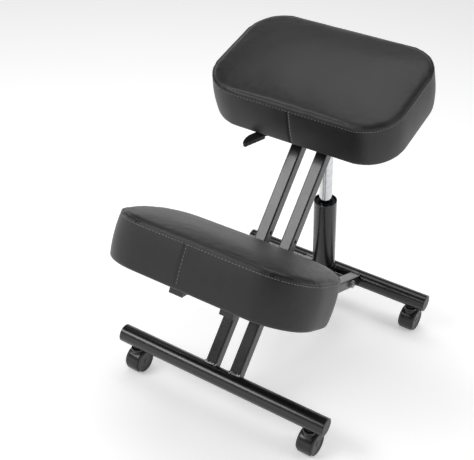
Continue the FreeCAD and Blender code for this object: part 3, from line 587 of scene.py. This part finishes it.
def refine(block, c):
    """Subdivided once, with grooves at the seams and faint puckers beside them."""
    top = block.vertex_groups.new(name="top")
    for k, v in enumerate(block.data.vertices):
        if v.co.z > 0:
            inside = distance_to_edge(c, v.co, 0)
            top.add([k], min(max(inside / TAUT_FADE - TAUT_START, 0), 1), "REPLACE")
    taut = block.modifiers.new("taut", "SMOOTH")
    taut.vertex_group = "top"
    taut.factor = 0.8
    taut.iterations = 60
    settle = block.modifiers.new("settle", "SMOOTH")
    settle.factor = 0.5
    settle.iterations = 3
    finer = block.modifiers.new("finer", "SUBSURF")
    finer.levels = 1
    finer.render_levels = 1
    mesh = evaluated(block)
    block.modifiers.clear()
    normals = [v.normal.copy() for v in mesh.vertices]
    for k, v in enumerate(mesh.vertices):
        above = (v.co.z - GROOVE_Z) / GROOVE_WIDTH
        rim = math.exp(-above * above)
        behind = (distance_to_edge(c, v.co, 0) - TROUGH_WIDTH) / TROUGH_WIDTH
        fade = max(1 - (2 * v.co.x / c.width) ** 2, 0)
        trough = math.exp(-behind * behind) * fade if v.co.z > 0 else 0
        pucker = math.exp(-((v.co.z - PUCKER_Z) / PUCKER_SPREAD) ** 2)
        ripple = noise.noise(Vector((v.co.x, v.co.y, v.co.z * PUCKER_STRETCH)) / PUCKER_LENGTH)
        slow = noise.noise(v.co / UNEVEN_LENGTH)
        depth = (GROOVE_DEPTH * rim + c.trough * trough - PUCKER_DEPTH * ripple * pucker
                 - UNEVEN_DEPTH * slow)
        if on_underside(c, v.co):
            depth = 0.0
        elif v.co.z < -SIDE_GROOVE_TOP and on_front_or_back(c, v.co):
            beside = (v.co.x - c.side_seam) / SIDE_GROOVE_WIDTH
            depth += SIDE_GROOVE_DEPTH * math.exp(-beside * beside)
        v.co -= normals[k] * depth
    for v in mesh.vertices:
        v.co.z = max(v.co.z, -c.thickness)
    block.data = mesh
    return block


# %% [markdown]
# The plywood board is let into the underside. The remeshed underside has no edges along
# the board's outline that could be pushed in, so a boolean cut makes the pocket, a
# fraction of a millimetre wider than the board.

# %% Pocket for the board
BOARD_MARGIN = 22 * MM
BOARD_THICKNESS = 12 * MM
BOARD_GAP = 0.4 * MM
BOARD_CORNER = 0.8


def board_pocket(block, c):
    """The board's own outline, cut out of the underside."""
    bm = bmesh.new()
    bmesh.ops.create_cube(bm, size=1.0)
    size = (c.width - 2 * BOARD_MARGIN + 2 * BOARD_GAP,
            c.depth - 2 * BOARD_MARGIN + 2 * BOARD_GAP, 2 * (BOARD_THICKNESS + BOARD_GAP))
    bmesh.ops.scale(bm, vec=size, verts=bm.verts)
    bmesh.ops.translate(bm, vec=(0, 0, -c.thickness), verts=bm.verts)
    bmesh.ops.bevel(bm, geom=upright_edges(bm, MM), offset=c.corner - BOARD_MARGIN * BOARD_CORNER,
                    segments=12, profile=0.5, affect="EDGES", material=-1)
    mesh = bpy.data.meshes.new("board_cutter")
    bm.to_mesh(mesh)
    bm.free()
    cutter = bpy.data.objects.new("board_cutter", mesh)
    bpy.context.scene.collection.objects.link(cutter)
    cut = block.modifiers.new("pocket", "BOOLEAN")
    cut.operation = "DIFFERENCE"
    cut.solver = "EXACT"
    cut.object = cutter
    block.data = evaluated(block)
    block.modifiers.clear()
    bpy.data.objects.remove(cutter)
    return block


# %% [markdown]
# ## Seams and stitches
#
# The places of the stitches are found on the finished cushion itself: a ray is shot at
# it from outside, from each point of a rounded outline, and the stitch lies where the
# ray lands. The outline is one face with its four corners bevelled round.

# %% Points along a seam
OUTSIDE = 20 * MM
RAY_LENGTH = 60 * MM
SIDE_SEAM_TOP = 6 * MM
SIDE_SEAM_ENDS = 14 * MM


def rounded_outline(c, grow):
    """The corners of a rounded outline that stands outside the cushion by so much."""
    bm = bmesh.new()
    bmesh.ops.create_grid(bm, x_segments=1, y_segments=1, size=0.5)
    bmesh.ops.scale(bm, vec=(c.width + 2 * grow, c.depth + 2 * grow, 1), verts=bm.verts)
    bmesh.ops.bevel(bm, geom=list(bm.verts), offset=c.corner + grow, segments=24, profile=0.5,
                    affect="VERTICES", material=-1)
    bm.faces.ensure_lookup_table()
    points = [v.co.copy() for v in bm.faces[0].verts]
    bm.free()
    return points


def walk(points, pitch):
    """Points one pitch apart round a closed line, each with the line's direction."""
    ends = points + points[:1]
    lengths = [(b - a).length for a, b in zip(ends, ends[1:])]
    count = max(2, round(sum(lengths) / pitch))
    spacing = sum(lengths) / count
    places = []
    passed, k = 0.0, 0
    for n in range(count):
        target = n * spacing
        while passed + lengths[k] < target:
            passed += lengths[k]
            k += 1
        run = (ends[k + 1] - ends[k]).normalized()
        places.append((ends[k] + run * (target - passed), run))
    return places


def seam_points(tree, c, height, pitch):
    """Points on the cushion's surface at one height, with direction and outward normal."""
    found = []
    for place, run in walk(rounded_outline(c, OUTSIDE), pitch):
        inward = Vector((-run.y, run.x, 0))
        if inward.dot(place) > 0:
            inward = -inward
        hit = tree.ray_cast(place + Vector((0, 0, height)), inward, RAY_LENGTH)
        if hit[0] is not None:
            found.append((hit[0], run, hit[1]))
    return found


def upright_points(tree, c, x, side, pitch):
    """Points down the middle of the front or the back of the band."""
    found = []
    for n in range(round((c.thickness - SIDE_SEAM_ENDS) / pitch)):
        z = -SIDE_SEAM_TOP - n * pitch
        hit = tree.ray_cast(Vector((x, side * c.depth, z)), Vector((0, -side, 0)), c.depth)
        if hit[0] is not None:
            found.append((hit[0], Vector((0, 0, -1)), hit[1]))
    return found


# %% [markdown]
# A stitch is a tiny capsule of a few dozen faces, laid along the seam and sunk to half
# its thickness. Stitches could be painted on, but shapes catch the light as real ones
# do. They are a little longer and thicker than real ones, or they would vanish at this
# distance. The folded edge of the band is a thin round cord.

# %% Stitches and folded edge
STITCH_PITCH = 7 * MM
STITCH_SIZE = (STITCH_PITCH * 0.66, 1.0 * MM, 1.0 * MM)
CORD_SINK = 0.3


def add_stitches(bm, places):
    """One capsule at each place, lying along the seam."""
    for spot, run, normal in places:
        side = normal.cross(run).normalized()
        run = side.cross(normal).normalized()
        turn = Matrix((run, side, normal)).transposed().to_4x4()
        made = bmesh.ops.create_uvsphere(bm, u_segments=6, v_segments=4, radius=0.5)
        bmesh.ops.rotate(bm, verts=made["verts"], cent=(0, 0, 0),
                         matrix=Matrix.Rotation(math.pi / 2, 3, "Y"))
        bmesh.ops.scale(bm, verts=made["verts"], vec=STITCH_SIZE)
        bmesh.ops.transform(bm, verts=made["verts"], matrix=Matrix.Translation(spot) @ turn)


def folded_edge(name, places, radius):
    """A closed round cord through the given points, as a mesh."""
    curve = bpy.data.curves.new(name, "CURVE")
    curve.dimensions = "3D"
    curve.bevel_depth = radius
    curve.bevel_resolution = 2
    line = curve.splines.new("POLY")
    line.points.add(len(places) - 1)
    for point, (spot, run, normal) in zip(line.points, places):
        point.co = (*(spot - normal * radius * CORD_SINK), 1.0)
    line.use_cyclic_u = True
    holder = bpy.data.objects.new(name, curve)
    bpy.context.scene.collection.objects.link(holder)
    mesh = evaluated(holder)
    bpy.data.objects.remove(holder)
    bm = bmesh.new()
    bm.from_mesh(mesh)
    tidy(bm)
    return bm


# %% [markdown]
# Now the steps come together. One row of stitches runs a little below the folded edge,
# and another on the +X side of each upright seam.

# %% Make both cushions
SHRINK = 3 * MM
CUSHION_VOXEL = 4.4 * MM
FOLD_Z = -1.8 * MM
FOLD_PITCH = 4 * MM
FOLD_RADIUS = 1.9 * MM
STITCH_Z = -5.6 * MM
BESIDE_SEAM = 3 * MM


def make_cushion(c):
    """The whole cushion: swollen form, grooves, pocket, folded edge and stitches."""
    shrink = SHRINK
    block = remeshed(c.name + "_block", start_shape(c, shrink), CUSHION_VOXEL)
    block = crown_top(block, c, shrink)
    block = blow_up(block, c)
    block = board_pocket(refine(block, c), c)
    bm = bmesh.new()
    bm.from_mesh(block.data)
    bpy.data.objects.remove(block)
    tree = BVHTree.FromBMesh(bm)
    folded = folded_edge(c.name + "_fold", seam_points(tree, c, FOLD_Z, FOLD_PITCH),
                         FOLD_RADIUS)
    sewn = bmesh.new()
    add_stitches(sewn, seam_points(tree, c, STITCH_Z, STITCH_PITCH))
    for side in (-1, 1):
        add_stitches(sewn, upright_points(tree, c, c.side_seam + BESIDE_SEAM, side,
                                          STITCH_PITCH))
    for part in (bm, folded, sewn):
        bmesh.ops.transform(part, matrix=c.frame, verts=part.verts)
    pad = new_piece(c.name + "_pad", bm, leatherette, c.body,
                    [c.name + "_cushion"], smooth_below=60)
    new_piece(c.name + "_folded_edge", folded, leatherette, c.body)
    stitches = new_piece(c.name + "_stitches", sewn, thread, c.body)
    print(c.name, "pad:", len(pad.data.polygons), "faces,", len(stitches.data.polygons),
          "in its stitches")


make_cushion(seat)
make_cushion(knee)

# %% [markdown]
# ## Casters
#
# A twin-wheel caster has a hood like a half barrel, with a wheel on each side of its
# middle web. The parts could be cut out of cylinders, but a section that is spun about
# the axle keeps every lip and round in one short list. The hood's shell turns for half a
# turn and a wheel for a whole one. The lists hold corners in millimetres: how far they
# lie across the caster, and how far from the axle.

# %% Sizes of a caster, and a way to spin a section
WHEEL_RADIUS = 25 * MM
TRAIL = 6 * MM
caster_stems = {
    "front_left": (208.5 * MM, -192.014 * MM), "front_right": (-208.5 * MM, -192.014 * MM),
    "rear_left": (199 * MM, 289.986 * MM), "rear_right": (-199 * MM, 289.986 * MM),
}
body_of_node = {member: body
                for body, members in frame["record"]["behaviour"]["bodies"].items()
                for member in members}


def spun(points, start=0, degrees=360, steps=56):
    """A section spun about the X axis, from a start angle above the +Y side."""
    bm = bmesh.new()
    face = bm.faces.new([bm.verts.new((x * MM, 0, r * MM)) for x, r in points])
    geometry = [face] + list(face.edges) + list(face.verts)
    bmesh.ops.rotate(bm, verts=bm.verts, cent=(0, 0, 0),
                     matrix=Matrix.Rotation(math.radians(start - 90), 3, "X"))
    whole = degrees == 360
    bmesh.ops.spin(bm, geom=geometry, cent=(0, 0, 0), axis=(1, 0, 0),
                   angle=math.radians(degrees), steps=steps, use_merge=whole)
    if whole:
        inside = [f for f in bm.faces if len(f.verts) == len(points)]
        bmesh.ops.delete(bm, geom=inside, context="FACES_ONLY")
    tidy(bm)
    return bm


def joined(parts):
    """Several bmeshes in one."""
    whole = bmesh.new()
    for part in parts:
        mesh = bpy.data.meshes.new("part")
        part.to_mesh(mesh)
        part.free()
        whole.from_mesh(mesh)
        bpy.data.meshes.remove(mesh)
    return whole


# %% [markdown]
# The hood is a shell, a web between the wheels and a boss round the axle. A second boss
# on top takes the stem. It is a short round post with a collar and a rounded lip, spun
# about the upright axis, and its corners are listed by radius and height.

# %% Hoods
HOOD_START, HOOD_TURN, HOOD_STEPS = 50, 175, 40
SHELL = ((-14.5, 26.1), (-14.3, 26.8), (-13.6, 27.3), (-12.4, 27.5), (12.4, 27.5),
         (13.6, 27.3), (14.3, 26.8), (14.5, 26.1), (14.2, 25.7), (-14.2, 25.7))
WEB = ((-6.2, 3.1), (-6.2, 26.2), (6.2, 26.2), (6.2, 3.1))
AXLE_BOSS = ((-6.2, 3.05), (-6.2, 7.1), (-5.8, 7.5), (5.8, 7.5), (6.2, 7.1), (6.2, 3.05))
STEM_BOSS = ((9.0, 57.0), (9.0, 58.6), (9.4, 59.0), (12.2, 59.0), (12.8, 58.7), (13.0, 58.1),
             (13.0, 54.2), (12.4, 53.7), (12.4, 52.9), (13.0, 52.4), (13.0, 47.0), (4.1, 47.0),
             (4.1, 57.0))


def make_hood(place, x, y):
    """The hood of one caster, with its two bosses."""
    body = joined([spun(SHELL, HOOD_START, HOOD_TURN, HOOD_STEPS),
                   spun(WEB, HOOD_START, HOOD_TURN, HOOD_STEPS),
                   spun(AXLE_BOSS, steps=HOOD_STEPS)])
    bmesh.ops.translate(body, verts=body.verts, vec=(0, TRAIL, WHEEL_RADIUS))
    boss = bmesh.new()
    corners = [boss.verts.new((r * MM, 0, z * MM)) for r, z in STEM_BOSS]
    for a, b in zip(corners, corners[1:] + corners[:1]):
        boss.edges.new((a, b))
    bmesh.ops.spin(boss, geom=list(boss.verts) + list(boss.edges), cent=(0, 0, 0),
                   axis=(0, 0, 1), angle=2 * math.pi, steps=48, use_merge=True)
    tidy(boss)
    body = joined([body, boss])
    bmesh.ops.translate(body, verts=body.verts, vec=(x, y, 0))
    node = "caster_hood_" + place
    new_piece("hood_" + place, body, hood_plastic, body_of_node[node], [node])


# %% [markdown]
# A wheel has two shots of plastic: a dished disc with a raised hub and a rim, and a
# softer tread with rounded shoulders. The sections are drawn for the left wheel. For the
# right one they are mirrored, which turns the faces over, so their normals are made
# right again.

# %% Wheels
DISC = ((16.5, 0.4), (17.6, 0.4), (17.7, 4.6), (17.3, 5.6), (16.6, 6.4), (16.5, 17.6),
        (16.9, 19.2), (17.9, 20.6), (18.0, 21.9), (13.0, 21.9), (13.0, 20.4), (14.2, 19.6),
        (14.4, 6.2), (7.0, 6.0), (7.0, 3.1), (16.5, 3.1))
TREAD = ((18.3, 21.7), (18.5, 22.4), (18.4, 23.6), (17.8, 24.5), (16.6, 24.9), (12.6, 25.0),
         (8.6, 24.9), (7.4, 24.5), (6.9, 23.8), (6.8, 22.4), (7.2, 21.7))


def make_wheel(place, side, x, y):
    """One wheel of a caster. The disc stands for the model's node."""
    sign = 1 if side == "left" else -1
    node = "caster_wheel_%s_%s" % (place, side)
    shots = (("disc", DISC, wheel_plastic), ("tread", TREAD, tread_plastic))
    for label, outline, finish in shots:
        part = spun(outline)
        bmesh.ops.scale(part, verts=part.verts, vec=(sign, 1, 1))
        bmesh.ops.translate(part, verts=part.verts, vec=(x, y + TRAIL, WHEEL_RADIUS))
        bmesh.ops.recalc_face_normals(part, faces=part.faces)
        stands_for = [node] if label == "disc" else ()
        new_piece("wheel_%s_%s_%s" % (label, place, side), part, finish, body_of_node[node],
                  stands_for)


for place, (x, y) in caster_stems.items():
    make_hood(place, x, y)
    for side in ("left", "right"):
        make_wheel(place, side, x, y)
print("made", len(caster_stems), "casters")

# %% [markdown]
# ## Weld beads
#
# The arms are welded to the front crossbar by hand, and a real bead is lumpy. A bead
# could be swept along a curve, but the model's own smooth beads already follow each
# joint. So they are remeshed finely and pushed out and in by noise.

# %% Weld beads
BEAD_VOXEL = 0.5 * MM
LUMP_SIZE = 2.6 * MM
LUMP_HEIGHT = 1.3 * MM
BEAD_GROWTH = 1.5 * MM


def make_weld_beads():
    """The beads of the arms, grown a little and made lumpy."""
    bm = bmesh.new()
    bm.from_mesh(nodes["arm_welds"].data)
    bmesh.ops.transform(bm, matrix=nodes["arm_welds"].matrix_world, verts=bm.verts)
    block = remeshed("bead_block", bm, BEAD_VOXEL)
    mesh = block.data
    normals = [v.normal.copy() for v in mesh.vertices]
    for k, v in enumerate(mesh.vertices):
        v.co += normals[k] * (LUMP_HEIGHT * noise.noise(v.co / LUMP_SIZE) + BEAD_GROWTH)
    beads = bmesh.new()
    beads.from_mesh(mesh)
    bpy.data.objects.remove(block)
    return new_piece("arm_weld_beads", beads, weld_metal, body_of_node["arm_welds"],
                     ["arm_welds"], smooth_below=70)


beads = make_weld_beads()
print("weld beads:", len(beads.data.polygons), "faces")

# %% [markdown]
# ## Floor and light
#
# A plain floor of white paint, matt and smooth. Where the camera or a reflection sees it,
# it also glows a little, so that it looks white without more light on the chair. The
# chair's shadow still falls on it.

# %% Floor
FLOOR_HALF = 6.0
FLOOR_GLOW = 0.34


def make_floor():
    """The floor, and its white that only the camera and reflections see."""
    bm = bmesh.new()
    bmesh.ops.create_grid(bm, x_segments=1, y_segments=1, size=FLOOR_HALF)
    mesh = bpy.data.meshes.new("studio_floor")
    bm.to_mesh(mesh)
    bm.free()
    finish, tree, shader, place = new_finish("studio_floor_white")
    shader.inputs["Base Color"].default_value = screen_colour("f4f4f4")
    shader.inputs["Roughness"].default_value = 0.85
    shader.inputs["Specular IOR Level"].default_value = 0.2
    rays = add_node(tree, "ShaderNodeLightPath")
    seen = add_node(tree, "ShaderNodeMath", {"operation": "MAXIMUM"},
                    i0=rays.outputs["Is Camera Ray"], i1=rays.outputs["Is Glossy Ray"])
    glow = add_node(tree, "ShaderNodeMapRange", Value=seen.outputs[0], To_Max=FLOOR_GLOW)
    tree.links.new(glow.outputs[0], shader.inputs["Emission Strength"])
    shader.inputs["Emission Color"].default_value = (1, 1, 1, 1)
    mesh.materials.append(finish)
    floor = bpy.data.objects.new("studio_floor", mesh)
    bpy.context.scene.collection.objects.link(floor)


make_floor()


# %% [markdown]
# The light is that of a small studio: one wide lamp above, a strip on the sitter's left,
# and a softbox in front that draws the long highlights along the tubes. A picture of a
# studio could light the chair too, but lamps can be set one by one.

# %% Lamps
def add_lamp(name, place, target, width, height, power):
    """A rectangular lamp that faces its target, with sizes in metres and power in watts."""
    lamp = bpy.data.lights.new(name, "AREA")
    lamp.shape = "RECTANGLE"
    lamp.size = width
    lamp.size_y = height
    lamp.energy = power
    holder = bpy.data.objects.new(name, lamp)
    holder.location = place
    holder.rotation_euler = (Vector(target) - Vector(place)).to_track_quat("-Z", "Y").to_euler()
    bpy.context.scene.collection.objects.link(holder)
    print("lamp:", name, power, "W")


add_lamp("top_softbox", (-0.25, 0.5, 2.4), (0, 0, 0.3), 1.8, 1.8, 20)
add_lamp("left_strip", (2.0, 0.3, 1.5), (0, 0, 0.4), 0.8, 1.8, 10)
add_lamp("front_softbox", (-1.4, -1.85, 2.2), (0, 0.05, 0.3), 1.4, 0.9, 28)

# %% [markdown]
# The sky has three levels. The camera sees white, and rough surfaces get a soft fill. In
# reflections the sky is bright at the horizon and dark overhead, which is what makes
# black gloss look black.

# %% Sky
SKY_SEEN = 1.0
SKY_FILL = 0.4
TENT_HORIZON = 1.5
TENT_OVERHEAD = 0.06
TENT_LOW, TENT_HIGH = 0.05, 0.5
world = bpy.data.worlds.new("studio_sky")
world.use_nodes = True
bpy.context.scene.world = world
sky_tree = world.node_tree
sky = sky_tree.nodes["Background"]
sky.inputs["Color"].default_value = screen_colour("f6f6f6")
rays = add_node(sky_tree, "ShaderNodeLightPath")
way = add_node(sky_tree, "ShaderNodeTexCoord")
height = add_node(sky_tree, "ShaderNodeSeparateXYZ", i0=way.outputs["Generated"])
tent = add_node(sky_tree, "ShaderNodeMapRange", Value=height.outputs["Z"], From_Min=TENT_LOW,
                From_Max=TENT_HIGH, To_Min=TENT_HORIZON, To_Max=TENT_OVERHEAD)
mirrored = add_node(sky_tree, "ShaderNodeMix", {"data_type": "FLOAT"},
                    i0=rays.outputs["Is Glossy Ray"], i2=SKY_FILL, i3=tent.outputs[0])
level = add_node(sky_tree, "ShaderNodeMix", {"data_type": "FLOAT"},
                 i0=rays.outputs["Is Camera Ray"], i2=mirrored.outputs[0], i3=SKY_SEEN)
sky_tree.links.new(level.outputs[0], sky.inputs["Strength"])
bpy.context.scene.view_settings.view_transform = "Standard"
